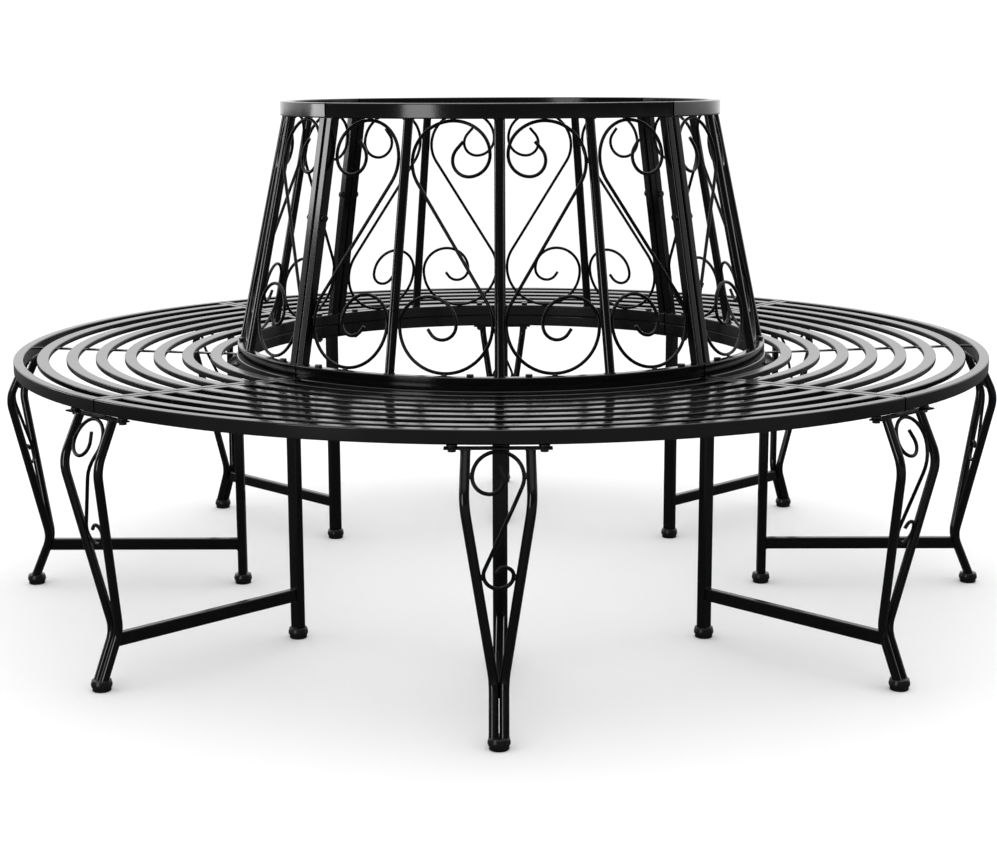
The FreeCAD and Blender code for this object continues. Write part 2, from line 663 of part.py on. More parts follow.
def back_scrolls(quarter, turn):
    """One scroll in each bay between the posts of a quarter."""
    rod = 0.5 * size("rod_diameter")
    clearance = size("rod_clearance")
    lines, halves = post_lines(), post_halves()
    scrolls = []
    for bay in range(len(lines) - 1):
        (left, left_top), (right, right_top) = lines[bay : bay + 2]
        left_half, right_half = halves[bay : bay + 2]
        place = frame_between(left, right, left_top, right_top)
        rise = ((left_top + right_top) * 0.5 - (left + right) * 0.5).Length
        room = 0.5 * ((right - left).Length - left_half - right_half) - clearance
        closing = 0.5 * ((right - left).Length - (right_top - left_top).Length) / rise
        middle = 0.5 * (left_half - right_half)
        lower_radius = room / (1 + closing)
        upper_radius = (room - closing * rise) / (1 - closing)
        side = -1 if bay % 2 else 1
        upper_centre = Vector(middle, rise - clearance - upper_radius, 0)
        lower_centre = Vector(middle, lower_radius + clearance, 0)
        upper = scroll_upper(upper_centre, upper_radius - rod, side)
        lower = scroll_lower(lower_centre, lower_radius - rod, side)
        wire = scroll_wire(upper, lower, side)
        name = f"scroll_{quarter}_{bay + 1}"
        scrolls.append(swept_rod(name, wire, "0.5 * dims.rod_diameter", place))
    group(f"back_scrolls_{quarter}", scrolls, turn)


def compass(angle, side):
    """Angle on a curl, mirrored for the scrolls that face the other way."""
    return angle if side < 0 else 180 - angle


def scroll_upper(centre, radius, side):
    turns = [
        (radius, compass(size("upper_first_end"), side)),
        (size("upper_second_radius"), compass(RIGHT, side)),
        (size("upper_third_radius"), compass(BOTTOM, side)),
        (size("upper_inner_radius"), compass(size("upper_last_end"), side)),
    ]
    return centre, radius, turns, size("upper_tail")


def scroll_lower(centre, radius, side):
    turns = [
        (radius, compass(BOTTOM, side)),
        (radius, compass(LEFT, side)),
        (size("lower_second_radius"), compass(TOP, side)),
        (size("lower_second_radius"), compass(RIGHT, side)),
        (size("lower_inner_radius"), compass(BOTTOM, side)),
        (size("lower_inner_radius"), compass(size("lower_last_end"), side)),
    ]
    return centre, radius, turns, size("lower_tail")


def group(node, pieces, turn=0):
    compound = doc.addObject("Part::Compound", node)
    compound.Label = node
    compound.Links = pieces
    compound.Placement = turned(turn)
    nodes[node] = compound
    return compound


# Legs


def bent_wire(points, bends):
    """Straight runs joined by tangent arcs, one bend for each inner point."""
    edges = []
    start = points[0]
    for before, corner, after, bend in zip(points, points[1:], points[2:], bends):
        back = (before - corner).normalize()
        ahead = (after - corner).normalize()
        half_angle = 0.5 * back.getAngle(ahead)
        trim = bend / math.tan(half_angle)
        bisector = (back + ahead).normalize()
        centre = corner + bisector * (bend / math.sin(half_angle))
        arc_start, arc_end = corner + back * trim, corner + ahead * trim
        edges.append(Part.LineSegment(start, arc_start).toShape())
        edges.append(Part.Arc(arc_start, centre - bisector * bend, arc_end).toShape())
        start = arc_end
    edges.append(Part.LineSegment(start, points[-1]).toShape())
    return Part.Wire(edges)


def leg_corners(side):
    """Head, knee, ankle and foot on the middle line of one bent tube."""
    close = 0.5 * (size("leg_tube_diameter") + size("ankle_clearance"))
    head_side, knee_side = 0.5 * size("leg_head_spread"), 0.5 * size("knee_spread")
    head = Vector(size("leg_head_radius"), side * head_side, value(OUTER_PLATE_BOTTOM))
    knee = Vector(size("knee_radius"), side * knee_side, size("knee_height"))
    ankle = Vector(size("ankle_radius"), side * close, size("ankle_height"))
    foot = Vector(size("foot_radius"), side * close, size("cap_height"))
    return head, knee, ankle, foot


def leg_wire(side):
    """Middle line of one bent tube, from above the plate to inside the foot cap."""
    head, knee, ankle, foot = leg_corners(side)
    spare = size("leg_tube_diameter")
    above = head + (head - knee) * (spare / (head.z - knee.z))
    below = foot + (foot - ankle) * (spare / (ankle.z - foot.z))
    return bent_wire([above, knee, ankle, below], [size("knee_bend"), size("ankle_bend")])


def point_at_height(wire, level):
    """Place where a tube's middle line crosses a level."""
    reach = 2 * size("seat_radius")
    cut = Part.makePlane(2 * reach, 2 * reach, Vector(-reach, -reach, level))
    crossing = wire.distToShape(cut)
    return crossing[1][0][0]


def leg_outer_tubes(leg, turn):
    """Two bent tubes that meet at the ankle, trimmed level at the plate and the cap."""
    node = f"leg_outer_tubes_{leg}"
    tubes = []
    for name, side in (("left", -1), ("right", 1)):
        wire = leg_wire(side)
        rod = swept_rod(f"{node}_{name}_rod", wire, "0.5 * dims.leg_tube_diameter", Placement())
        bore_radius = "0.5 * dims.leg_tube_diameter - dims.leg_tube_wall"
        bore = swept_rod(f"{node}_{name}_bore", wire, bore_radius, Placement())
        tube = doc.addObject("Part::Cut", f"{node}_{name}_tube")
        tube.Base = rod
        tube.Tool = bore
        room = doc.addObject("Part::Box", f"{node}_{name}_room")
        room.setExpression("Length", "2 * dims.knee_radius")
        room.setExpression("Width", "2 * dims.knee_spread")
        room.setExpression("Height", f"{OUTER_PLATE_BOTTOM} - dims.cap_height")
        room.setExpression("Placement.Base.y", "-dims.knee_spread")
        room.setExpression("Placement.Base.z", "dims.cap_height")
        trimmed = doc.addObject("Part::Common", f"{node}_{name}")
        trimmed.Base = tube
        trimmed.Tool = room
        tubes.append(trimmed)
    group(node, tubes, turn)


def leg_inner_post(leg, turn):
    body = new_body(f"leg_inner_post_{leg}", turn)
    half_width, half_depth = "0.5 * dims.inner_leg_width", "0.5 * dims.inner_leg_depth"
    middle = "dims.inner_leg_radius"
    sides = (f"{middle} - {half_depth}", f"{middle} + {half_depth}", f"-{half_width}", half_width)
    length = f"{INNER_PLATE_BOTTOM} - dims.cap_height"
    outline = new_sketch(body, "XY_Plane", along="dims.cap_height")
    add_outline(outline, rectangle(*sides))
    post = extrude(body, outline, length)
    round_long_edges(body, post, "dims.inner_leg_corner", size("inner_leg_width"))
    bore = new_sketch(body, "XY_Plane", along="dims.cap_height")
    add_outline(bore, rectangle(*sides, "dims.tube_wall"))
    extrude(body, bore, f"2 * ({length})", kind="Pocket", both_ways=True)


def stretcher_end():
    """Where a stretcher meets the back of the bent tubes, and how much that leans out below."""
    wire = leg_wire(1)
    middle = size("stretcher_height")
    step = 0.1 * size("stretcher_depth")
    below, above = point_at_height(wire, middle - step), point_at_height(wire, middle + step)
    lean = (below.x - above.x) / (above.z - below.z)
    tube_half = 0.5 * size("leg_tube_diameter") * math.hypot(1, lean)
    return point_at_height(wire, middle).x - tube_half, lean


def leg_stretchers():
    """Level tube from each inner leg to the ankle of the bent tubes, cut to their slope."""
    body = new_body("leg_stretchers", LEG_TURNS["right"])
    start = "(dims.inner_leg_radius + 0.5 * dims.inner_leg_depth)"
    end, lean = stretcher_end()
    short = size("ankle_radius") - end
    reach = f"(dims.ankle_radius - {short} + dims.stretcher_depth - {start})"
    half_width, half_depth = "0.5 * dims.stretcher_width", "0.5 * dims.stretcher_depth"
    sides = (f"-{half_width}", half_width)
    levels = (f"dims.stretcher_height - {half_depth}", f"dims.stretcher_height + {half_depth}")
    outline = new_sketch(body, "YZ_Plane", along=start)
    add_outline(outline, rectangle(*sides, *levels))
    tube = extrude(body, outline, reach)
    round_long_edges(body, tube, "dims.tube_corner", size("stretcher_depth"))
    bore = new_sketch(body, "YZ_Plane", along=start)
    add_outline(bore, rectangle(*sides, *levels, "dims.tube_wall"))
    extrude(body, bore, f"2 * {reach}", kind="Pocket", both_ways=True)
    waste = new_sketch(body, "XZ_Plane")
    outside = f"dims.ankle_radius - {short} + 2 * dims.stretcher_depth"
    low = "dims.stretcher_height - dims.stretcher_depth"
    high = "dims.stretcher_height + dims.stretcher_depth"
    low_end = f"dims.ankle_radius - {short} + {lean} * dims.stretcher_depth"
    high_end = f"dims.ankle_radius - {short} - {lean} * dims.stretcher_depth"
    add_outline(waste, [(low_end, low), (outside, low), (outside, high), (high_end, high)])
    trimmed = extrude(body, waste, "2 * dims.stretcher_width", kind="Pocket", both_ways=True)
    repeat_around(body, trimmed)


def fold_places():
    """Placements of a flat scroll above and below the fold, which runs across the two knees."""
    head, knee, ankle = leg_corners(0)[:3]
    across = Vector(0, 1, 0)
    places = []
    for up in ((head - knee).normalize(), (knee - ankle).normalize()):
        places.append(Placement(knee, Rotation(across, up, across.cross(up), "ZXY")))
    return places


def side_room(above, below, centre):
    """Largest curl about a place on the fold's flat pattern that clears the tube beside it."""
    along = (above - below).normalize()
    beside = 0.5 * (size("leg_tube_diameter") + size("rod_diameter")) + size("rod_clearance")
    return (centre - below).cross(along).Length - beside


def leg_curls():
    """Both curls on the flat pattern, whose origin is the middle of the fold."""
    head, knee, ankle = leg_corners(1)[:3]
    upper_length = math.hypot(head.x - knee.x, head.z - knee.z)
    lower_length = math.hypot(knee.x - ankle.x, knee.z - ankle.z)
    upper_share = (head.z - size("leg_curl_drop") - knee.z) / (head.z - knee.z)
    lower_share = (knee.z - size("leg_hook_height")) / (knee.z - ankle.z)
    flat_head = Vector(head.y, upper_length, 0)
    flat_knee = Vector(knee.y, 0, 0)
    flat_ankle = Vector(ankle.y, -lower_length, 0)
    upper_centre = Vector(0, upper_share * upper_length, 0)
    lower_centre = Vector(0, -lower_share * lower_length, 0)
    upper_radius = side_room(flat_head, flat_knee, upper_centre)
    lower_radius = side_room(flat_knee, flat_ankle, lower_centre)
    upper_turns = [
        (upper_radius, TOP),
        (upper_radius, LEFT),
        (size("leg_curl_second_radius"), BOTTOM),
        (size("leg_curl_inner_radius"), size("leg_curl_last_end")),
    ]
    lower_turns = [
        (lower_radius, BOTTOM),
        (lower_radius, RIGHT),
        (size("leg_hook_inner_radius"), size("leg_hook_last_end")),
    ]
    upper = (upper_centre, upper_radius, upper_turns, size("leg_curl_tail"))
    lower = (lower_centre, lower_radius, lower_turns, size("rod_diameter"))
    return scroll_curls(upper, lower, 1)


def placed_edges(edges, place):
    chain = Part.Wire(edges)
    chain.Placement = place
    return chain.Edges


def leg_scrolls():
    """Scroll between the two bent tubes of each leg, folded with them at the knee."""
    upper_place, lower_place = fold_places()
    (upper_edges, leave_point), (lower_edges, arrive_point) = leg_curls()
    share = leave_point.y / (leave_point.y - arrive_point.y)
    fold_point = leave_point + (arrive_point - leave_point) * share
    corners = [
        upper_place.multVec(leave_point),
        upper_place.multVec(fold_point),
        lower_place.multVec(arrive_point),
    ]
    rod = bent_wire(corners, [size("leg_scroll_bend")]).Edges
    upper_edges = placed_edges(list(reversed(upper_edges)), upper_place)
    lower_edges = placed_edges(lower_edges, lower_place)
    wire = Part.Wire(upper_edges + rod + lower_edges)
    scrolls = []
    for leg, turn in LEG_TURNS.items():
        scrolls.append(swept_rod(f"leg_scroll_{leg}", wire, "0.5 * dims.rod_diameter", turned(turn)))
    group("leg_scrolls", scrolls)


def bolt_pair(radius, spacing):
    """Places of the two bolts of one plate."""
    reach = f"sqrt({radius}^2 - (0.5 * {spacing})^2)"
    return [(reach, f"-0.5 * {spacing}"), (reach, f"0.5 * {spacing}")]


def leg_plates(node, inside, outside, length, bottom, thickness, bolt_places):
    """Flat plate on top of each leg, with a bolt hole near each end."""
    body = new_body(node)
    outline = new_sketch(body, "XY_Plane", along=bottom)
    half_length = f"0.5 * {length}"
    add_outline(outline, rectangle(inside, outside, f"-{half_length}", half_length))
    for across, up in bolt_places:
        add_circle(outline, across, up, HOLE_RADIUS)
    repeat_around(body, extrude(body, outline, thickness))


def rim_spacers():
    body = new_body("rim_spacers")
    outline = new_sketch(body, "XY_Plane", along=OUTER_PLATE_TOP)
    for across, up in bolt_pair(RIM_BOLT_RADIUS, "dims.rim_bolt_spacing"):
        add_circle(outline, across, up, "0.5 * dims.spacer_diameter")
        add_circle(outline, across, up, HOLE_RADIUS)
    repeat_around(body, extrude(body, outline, "dims.spacer_height"))


def plate_bolts(node, radius, spacing, head_level, shank_low, shank_high):
    """Hexagon bolts, two for each leg: head from one level up, shank between two levels."""
    body = new_body(node)
    heads = new_sketch(body, "XY_Plane", along=head_level)
    shanks = new_sketch(body, "XY_Plane", along=shank_low)
    for across, up in bolt_pair(radius, spacing):
        add_outline(heads, hexagon(across, up, "dims.bolt_head_width"))
        add_circle(shanks, across, up, "0.5 * dims.bolt_diameter")
    extrude(body, heads, "dims.bolt_head_height")
    repeat_around(body, extrude(body, shanks, f"{shank_high} - {shank_low}"))


def ring_nuts():
    """Nuts under the inner plates."""
    body = new_body("ring_nuts")
    outline = new_sketch(body, "XY_Plane", along=f"{INNER_PLATE_BOTTOM} - dims.bolt_head_height")
    for across, up in bolt_pair(RING_MIDDLE, "dims.ring_bolt_spacing"):
        add_outline(outline, hexagon(across, up, "dims.bolt_head_width"))
        add_circle(outline, across, up, "0.5 * dims.bolt_diameter")
    repeat_around(body, extrude(body, outline, "dims.bolt_head_height"))


def tie_fasteners():
    """Bolt and nut through the two posts at each seam of the backrest."""
    half_pair = f"({HALF_SEAM} + dims.seam_post_width)"
    bolts = new_body("tie_bolts", SEAM_TURN)
    head = new_sketch(bolts, "XZ_Plane", along=f"{half_pair}")
    add_outline(head, hexagon(TIE_RADIUS, "dims.tie_bolt_height", "dims.bolt_head_width"))
    extrude(bolts, head, "dims.bolt_head_height")
    low = f"(-{half_pair} - dims.bolt_head_height - dims.thread_reach)"
    shank = new_sketch(bolts, "XZ_Plane", along=low)
    add_circle(shank, TIE_RADIUS, "dims.tie_bolt_height", "0.5 * dims.bolt_diameter")
    repeat_around(bolts, extrude(bolts, shank, f"{half_pair} - {low}"), len(QUARTER_TURNS))
    nuts = new_body("tie_nuts", SEAM_TURN)
    outline = new_sketch(nuts, "XZ_Plane", along=f"-{half_pair} - dims.bolt_head_height")
    add_outline(outline, hexagon(TIE_RADIUS, "dims.tie_bolt_height", "dims.bolt_head_width"))
    add_circle(outline, TIE_RADIUS, "dims.tie_bolt_height", "0.5 * dims.bolt_diameter")
    repeat_around(nuts, extrude(nuts, outline, "dims.bolt_head_height"), len(QUARTER_TURNS))


def foot_caps():
    """Round caps under the outer and the inner legs."""
    body = new_body("foot_caps")
    profile = [
        ("0", "0"),
        ("dims.cap_sole_radius", "0"),
        ("dims.cap_sole_radius", "dims.cap_collar_low - dims.cap_collar_slope"),
        ("dims.cap_collar_radius", "dims.cap_collar_low"),
        ("dims.cap_collar_radius", "dims.cap_collar_high"),
        ("dims.cap_top_radius", "dims.cap_height"),
        ("0", "dims.cap_height"),
    ]
    for place in ("dims.foot_radius", "dims.inner_leg_radius"):
        outline = new_sketch(body, "XZ_Plane", across=place)
        add_outline(outline, profile)
        caps = revolve(body, outline, None, axis=(outline, ["V_Axis"]))
    repeat_around(body, caps)


for quarter_name, quarter_turn in QUARTER_TURNS.items():
    seat_outer_rim(quarter_name, quarter_turn)
    seat_inner_rim(quarter_name, quarter_turn)
    seat_slats(quarter_name, quarter_turn)
    seat_radial_bars(quarter_name, quarter_turn)
    back_top_band(quarter_name, quarter_turn)
    back_bottom_ring(quarter_name, quarter_turn)
    back_posts(quarter_name, quarter_turn)
    back_scrolls(quarter_name, quarter_turn)

for leg_name, leg_turn in LEG_TURNS.items():
    leg_outer_tubes(leg_name, leg_turn)
    leg_inner_post(leg_name, leg_turn)

leg_stretchers()
leg_scrolls()
leg_plates(
    "leg_outer_plates",
    f"({OUTER_PLATE_OUTSIDE} - dims.outer_plate_width)",
    OUTER_PLATE_OUTSIDE,
    "dims.outer_plate_length",
    OUTER_PLATE_BOTTOM,
    "dims.outer_plate_thickness",
    bolt_pair(RIM_BOLT_RADIUS, "dims.rim_bolt_spacing"),
)
leg_plates(
    "leg_inner_plates",
    INNER_PLATE_INSIDE,
    f"({INNER_PLATE_INSIDE} + dims.inner_plate_width)",
    "dims.inner_plate_length",
    INNER_PLATE_BOTTOM,
    "dims.inner_plate_thickness",
    bolt_pair(RING_MIDDLE, "dims.ring_bolt_spacing"),
)
rim_spacers()
plate_bolts(
    "rim_bolts",
    RIM_BOLT_RADIUS,
    "dims.rim_bolt_spacing",
    f"{OUTER_PLATE_BOTTOM} - dims.bolt_head_height",
    OUTER_PLATE_BOTTOM,
    f"({RIM_BOTTOM} + dims.bolt_reach)",
)
plate_bolts(
    "ring_bolts",
    RING_MIDDLE,
    "dims.ring_bolt_spacing",
    RING_TOP,
    f"({INNER_PLATE_BOTTOM} - dims.bolt_head_height - dims.thread_reach)",
    RING_TOP,
)
ring_nuts()
tie_fasteners()
foot_caps()
doc.recompute()

# Nothing is written unless every object is sound
for item in doc.Objects:
    if "Invalid" in item.State or "Error" in item.State:
        raise RuntimeError(f"{item.Label} failed: {item.State}")
for node, item in nodes.items():
    if item.Shape.isNull() or not item.Shape.isValid():
        raise RuntimeError(f"{node} has no valid shape")

os.makedirs("parts", exist_ok=True)
for node, item in nodes.items():
    item.Shape.exportStep(f"parts/{node}.step")
    print(node, "solids", len(item.Shape.Solids), "volume", round(item.Shape.Volume))
print("sub-parts", len(nodes))
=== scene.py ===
import json
import math

import bmesh
import bpy
from mathutils import Euler, Matrix, Vector, noise
from mathutils.bvhtree import BVHTree


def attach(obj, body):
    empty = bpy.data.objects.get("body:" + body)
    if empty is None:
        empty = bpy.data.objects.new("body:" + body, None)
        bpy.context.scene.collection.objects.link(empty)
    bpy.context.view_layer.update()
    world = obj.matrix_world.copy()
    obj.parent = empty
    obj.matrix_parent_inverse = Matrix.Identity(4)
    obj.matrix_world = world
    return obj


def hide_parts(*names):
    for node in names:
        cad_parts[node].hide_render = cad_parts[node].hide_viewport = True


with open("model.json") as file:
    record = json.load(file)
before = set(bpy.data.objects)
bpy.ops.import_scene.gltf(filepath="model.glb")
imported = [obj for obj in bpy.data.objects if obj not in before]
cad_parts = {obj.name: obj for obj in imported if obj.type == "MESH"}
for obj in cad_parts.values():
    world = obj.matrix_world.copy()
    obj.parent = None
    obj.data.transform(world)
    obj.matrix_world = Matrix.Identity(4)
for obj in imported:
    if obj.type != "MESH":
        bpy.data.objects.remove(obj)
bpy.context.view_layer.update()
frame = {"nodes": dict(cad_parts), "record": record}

slotOfNode = {part["node"]: part["material_slot"] for part in frame["record"]["subparts"]}
print("frame loaded,", len(frame["nodes"]), "nodes")


# shared shader node groups

grainPattern = {
    "peelDetail": 2,
    "driftScale": 9,
    "driftDetail": 4,
    "driftLow": 0.3,
    "driftHigh": 0.7,
}


def newGroup(name, inputs, outputs):
    group = bpy.data.node_groups.new(name, "ShaderNodeTree")
    for label, kind, value in inputs:
        socket = group.interface.new_socket(name=label, in_out="INPUT", socket_type=kind)
        socket.default_value = value
    for label, kind in outputs:
        group.interface.new_socket(name=label, in_out="OUTPUT", socket_type=kind)
    nodes = group.nodes
    start = nodes.new("NodeGroupInput")
    end = nodes.new("NodeGroupOutput")
    return group, nodes, group.links, start, end


def buildCoatGrain():
    # fine orange peel of sprayed powder, with slow drifts of gloss and shade
    group, nodes, links, start, end = newGroup(
        "coatGrain",
        [
            ("Place", "NodeSocketVector", (0, 0, 0)),
            ("Peel Scale", "NodeSocketFloat", 900.0),
            ("Peel Depth", "NodeSocketFloat", 0.3),
            ("Roughness", "NodeSocketFloat", 0.25),
            ("Roughness Drift", "NodeSocketFloat", 0.08),
            ("Dark", "NodeSocketColor", (0.004, 0.004, 0.0045, 1)),
            ("Light", "NodeSocketColor", (0.012, 0.012, 0.013, 1)),
        ],
        [
            ("Color", "NodeSocketColor"),
            ("Roughness", "NodeSocketFloat"),
            ("Height", "NodeSocketFloat"),
        ],
    )
    peel = nodes.new("ShaderNodeTexNoise")
    peel.inputs["Detail"].default_value = grainPattern["peelDetail"]
    links.new(start.outputs["Place"], peel.inputs["Vector"])
    links.new(start.outputs["Peel Scale"], peel.inputs["Scale"])
    depth = nodes.new("ShaderNodeMath")
    depth.operation = "MULTIPLY"
    links.new(peel.outputs["Fac"], depth.inputs[0])
    links.new(start.outputs["Peel Depth"], depth.inputs[1])
    links.new(depth.outputs[0], end.inputs["Height"])
    drift = nodes.new("ShaderNodeTexNoise")
    drift.inputs["Scale"].default_value = grainPattern["driftScale"]
    drift.inputs["Detail"].default_value = grainPattern["driftDetail"]
    links.new(start.outputs["Place"], drift.inputs["Vector"])
    spread = nodes.new("ShaderNodeMapRange")
    spread.inputs["From Min"].default_value = grainPattern["driftLow"]
    spread.inputs["From Max"].default_value = grainPattern["driftHigh"]
    spread.inputs["To Min"].default_value = -1
    spread.inputs["To Max"].default_value = 1
    links.new(drift.outputs["Fac"], spread.inputs["Value"])
    change = nodes.new("ShaderNodeMath")
    change.operation = "MULTIPLY_ADD"
    links.new(spread.outputs["Result"], change.inputs[0])
    links.new(start.outputs["Roughness Drift"], change.inputs[1])
    links.new(start.outputs["Roughness"], change.inputs[2])
    links.new(change.outputs[0], end.inputs["Roughness"])
    shade = nodes.new("ShaderNodeMix")
    shade.data_type = "RGBA"
    links.new(drift.outputs["Fac"], shade.inputs["Factor"])
    links.new(start.outputs["Dark"], shade.inputs["A"])
    links.new(start.outputs["Light"], shade.inputs["B"])
    links.new(shade.outputs["Result"], end.inputs["Color"])
    return group


coatGrain = buildCoatGrain()

powderCoat = {
    "name": "blackPowderCoat",
    "peelScale": 520.0,
    "peelDepth": 0.5,
    "bump": 0.00005,
    "roughness": 0.13,
    "drift": 0.02,
    "refraction": 1.45,
    "dark": (0.0012, 0.0012, 0.0014, 1),
    "light": (0.0032, 0.0032, 0.0035, 1),
}
rodCoat = {
    **powderCoat,
    "name": "blackRodCoat",
    "roughness": 0.15,
    "refraction": 1.24,
}
weldPaint = {
    "name": "blackWeldFinish",
    "peelScale": 380.0,
    "peelDepth": 1.0,
    "bump": 0.0002,
    "roughness": 0.16,
    "drift": 0.05,
    "refraction": 1.45,
    "dark": (0.0015, 0.0015, 0.0017, 1),
    "light": (0.004, 0.004, 0.0044, 1),
}
boltPaint = {
    "name": "blackBoltFinish",
    "peelScale": 900.0,
    "peelDepth": 0.4,
    "bump": 0.00006,
    "roughness": 0.26,
    "drift": 0.06,
    "refraction": 1.45,
    "dark": (0.002, 0.002, 0.002, 1),
    "light": (0.008, 0.008, 0.0085, 1),
}
capRubber = {
    "name": "blackCapRubber",
    "peelScale": 420.0,
    "peelDepth": 0.8,
    "bump": 0.00012,
    "roughness": 0.3,
    "drift": 0.08,
    "refraction": 1.45,
    "dark": (0.003, 0.003, 0.003, 1),
    "light": (0.008, 0.008, 0.008, 1),
}


def makeFinish(look):
    material = bpy.data.materials.new(look["name"])
    material.use_nodes = True
    nodes, links = material.node_tree.nodes, material.node_tree.links
    surface = nodes["Principled BSDF"]
    place = nodes.new("ShaderNodeTexCoord")
    grain = nodes.new("ShaderNodeGroup")
    grain.node_tree = coatGrain
    grain.inputs["Peel Scale"].default_value = look["peelScale"]
    grain.inputs["Peel Depth"].default_value = look["peelDepth"]
    grain.inputs["Roughness"].default_value = look["roughness"]
    grain.inputs["Roughness Drift"].default_value = look["drift"]
    grain.inputs["Dark"].default_value = look["dark"]
    grain.inputs["Light"].default_value = look["light"]
    links.new(place.outputs["Object"], grain.inputs["Place"])
    bump = nodes.new("ShaderNodeBump")
    bump.inputs["Distance"].default_value = look["bump"]
    links.new(grain.outputs["Height"], bump.inputs["Height"])
    links.new(grain.outputs["Color"], surface.inputs["Base Color"])
    links.new(grain.outputs["Roughness"], surface.inputs["Roughness"])
    links.new(bump.outputs["Normal"], surface.inputs["Normal"])
    surface.inputs["IOR"].default_value = look["refraction"]
    return material


steelFinish = makeFinish(powderCoat)
boltFinish = makeFinish(boltPaint)
capFinish = makeFinish(capRubber)
weldFinish = makeFinish(weldPaint)
rodFinish = makeFinish(rodCoat)
print("finishes done")


# steel tubes, rods and slats: the frame's own shapes, shaded smoothly round their bends

joining = {
    "reach": 0.000002,
    "corner": math.radians(38),
}
boltEdges = {
    "flatness": 0.01,
    "width": 0.0005,
    "segments": 2,
    "corner": math.radians(25),
}


def addPiece(name, shape, material, nodeNames=()):
    mesh = bpy.data.meshes.new(name)
    shape.to_mesh(mesh)
    shape.free()
    mesh.materials.append(material)
    piece = bpy.data.objects.new(name, mesh)
    bpy.context.scene.collection.objects.link(piece)
    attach(piece, "root")
    if nodeNames:
        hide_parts(*nodeNames)
    return piece


def smoothBends(shape, corner):
    for face in shape.faces:
        face.smooth = True
    for edge in shape.edges:
        edge.smooth = edge.calc_face_angle(math.pi) < corner


def joinedShape(nodeName):
    shape = bmesh.new()
    shape.from_mesh(frame["nodes"][nodeName].data)
    bmesh.ops.remove_doubles(shape, verts=shape.verts, dist=joining["reach"])
    return shape


def addSteelPiece(nodeName):
    shape = joinedShape(nodeName)
    smoothBends(shape, joining["corner"])
    finish = rodFinish if "scrolls" in nodeName else steelFinish
    piece = addPiece(nodeName + "_finish", shape, finish, [nodeName])
    shading = piece.modifiers.new("flatFaces", "WEIGHTED_NORMAL")
    shading.keep_sharp = True


def addBoltPiece(nodeName):
    shape = joinedShape(nodeName)
    bmesh.ops.dissolve_limit(
        shape,
        angle_limit=boltEdges["flatness"],
        verts=shape.verts,
        edges=shape.edges,
    )
    smoothBends(shape, joining["corner"])
    piece = addPiece(nodeName + "_finish", shape, boltFinish, [nodeName])
    rounding = piece.modifiers.new("rounding", "BEVEL")
    rounding.width = boltEdges["width"]
    rounding.segments = boltEdges["segments"]
    rounding.limit_method = "ANGLE"
    rounding.angle_limit = boltEdges["corner"]
    rounding.harden_normals = True


for nodeName, slotName in slotOfNode.items():
    if slotName == "painted_steel":
        addSteelPiece(nodeName)
    elif slotName == "bolts":
        addBoltPiece(nodeName)
print("steel pieces done")


# foot caps

footCap = {
    "soleRadius": 0.0121,
    "soleRise": 0.0014,
    "sideRadius": 0.0132,
    "waist": (0.0128, 0.0050),
    "collarLow": (0.0142, 0.0061),
    "collarMiddle": (0.0148, 0.0084),
    "collarHigh": (0.0145, 0.0110),
    "shoulder": (0.0137, 0.0136),
    "lip": (0.0135, 0.0156),
    "height": 0.0160,
    "mouth": 0.0129,
    "steps": 40,
    "reach": 0.00001,
    "corner": math.radians(60),
}


def capPlaces():
    # the middle of each separate cap in the frame's one node, on the floor
    shape = joinedShape("foot_caps")
    places = []
    waiting = set(shape.verts)
    for start in shape.verts:
        if start not in waiting:
            continue
        waiting.remove(start)
        island = [start]
        for vert in island:
            for edge in vert.link_edges:
                other = edge.other_vert(vert)
                if other in waiting:
                    waiting.remove(other)
                    island.append(other)
        across = [vert.co.x for vert in island]
        along = [vert.co.y for vert in island]
        low = Vector((min(across), min(along), 0))
        high = Vector((max(across), max(along), 0))
        places.append((low + high) / 2)
    shape.free()
    return places


def addFootCaps():
    cap = footCap
    outline = [
        (0.0, 0.0),
        (cap["soleRadius"], 0.0),
        (cap["sideRadius"], cap["soleRise"]),
        cap["waist"],
        cap["collarLow"],
        cap["collarMiddle"],
        cap["collarHigh"],
        cap["shoulder"],
        cap["lip"],
        (cap["mouth"], cap["height"]),
        (0.0, cap["height"]),
    ]
    shape = bmesh.new()
    for place in capPlaces():
        corners = [place + Vector((radius, 0, level)) for radius, level in outline]
        verts = [shape.verts.new(corner) for corner in corners]
        edges = [shape.edges.new(pair) for pair in zip(verts, verts[1:])]
        bmesh.ops.spin(
            shape,
            geom=verts + edges,
            cent=place,
            axis=(0, 0, 1),
            angle=2 * math.pi,
            steps=cap["steps"],
            use_merge=True,
        )
    bmesh.ops.remove_doubles(shape, verts=shape.verts, dist=cap["reach"])
    bmesh.ops.recalc_face_normals(shape, faces=shape.faces)
    smoothBends(shape, cap["corner"])
    addPiece("footCapSet", shape, capFinish, ["foot_caps"])


addFootCaps()
print("foot caps done")


# weld beads, found where the steel pieces of the frame touch

beads = {
    "rodReach": 0.0024,
    "rodGroup": 0.034,
    "rodSpread": 0.0004,
    "rodSize": (0.0044, 0.0023, 0.0023),
    "shortest": 0.0019,
    "endReach": 0.0006,
    "endSpacing": 0.0032,
    "endSize": 0.0019,
    "endFlatness": 0.8,
    "detail": 2,
    "lumps": 0.16,
    "lumpScale": 420.0,
}


